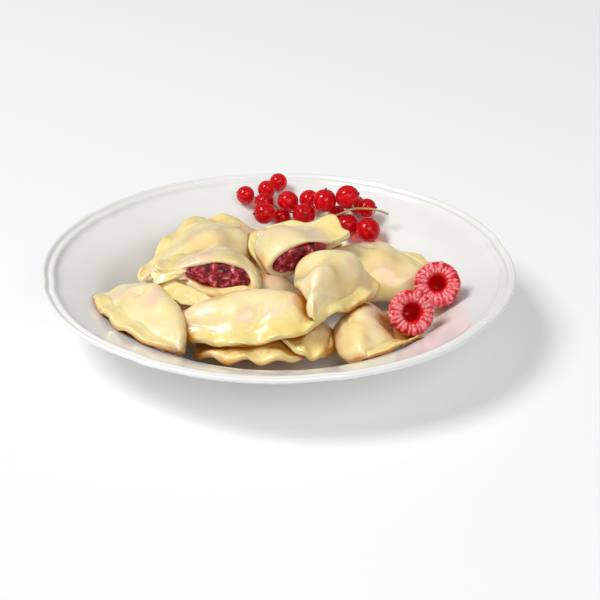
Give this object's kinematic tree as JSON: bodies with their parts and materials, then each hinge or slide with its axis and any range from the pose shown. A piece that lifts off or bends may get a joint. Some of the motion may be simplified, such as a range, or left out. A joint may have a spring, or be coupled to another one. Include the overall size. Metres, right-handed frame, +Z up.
{
  "type": "plate of filled dumplings",
  "caption": "Round deep plate holding a heap of boiled half-moon dumplings, some torn open on a berry filling, with a sprig of currants and a few raspberries.",
  "frame": {"origin": "under the middle of the plate, on the surface that its foot ring stands on", "axes": "+Z up, -Y towards the front of the plate, +X to the right as seen from the front"},
  "size_m": [0.2206, 0.2206, 0.0518],
  "materials": {
    "porcelain": "white glazed porcelain",
    "dough": "boiled wheat dough, cream yellow and wet",
    "filling": "dark crimson crushed berries, moist and grainy",
    "currant": "shiny translucent red skin",
    "raspberry": "dull pinkish red drupelets",
    "stalk": "dry golden brown stalk"
  },
  "bodies": {
    "root": {"currant_01": "currant", "currant_02": "currant", "currant_03": "currant", "currant_04": "currant", "currant_05": "currant", "currant_06": "currant", "currant_07": "currant", "currant_08": "currant", "currant_09": "currant", "currant_10": "currant", "currant_11": "currant", "currant_12": "currant", "currant_13": "currant", "currant_14": "currant", "currant_15": "currant", "currant_16": "currant", "currant_stalk": "stalk", "dumpling_back": "dough", "dumpling_back_left": "dough", "dumpling_back_right": "dough", "dumpling_front": "dough", "dumpling_front_gap": "dough", "dumpling_front_right": "dough", "dumpling_left": "dough", "dumpling_long": "dough", "dumpling_middle": "dough", "dumpling_right": "dough", "dumpling_torn_left": "dough", "dumpling_torn_left_filling": "filling", "dumpling_torn_right": "dough", "dumpling_torn_right_filling": "filling", "plate": "porcelain", "raspberry_back": "raspberry", "raspberry_front": "raspberry"}
  },
  "joints": []
}
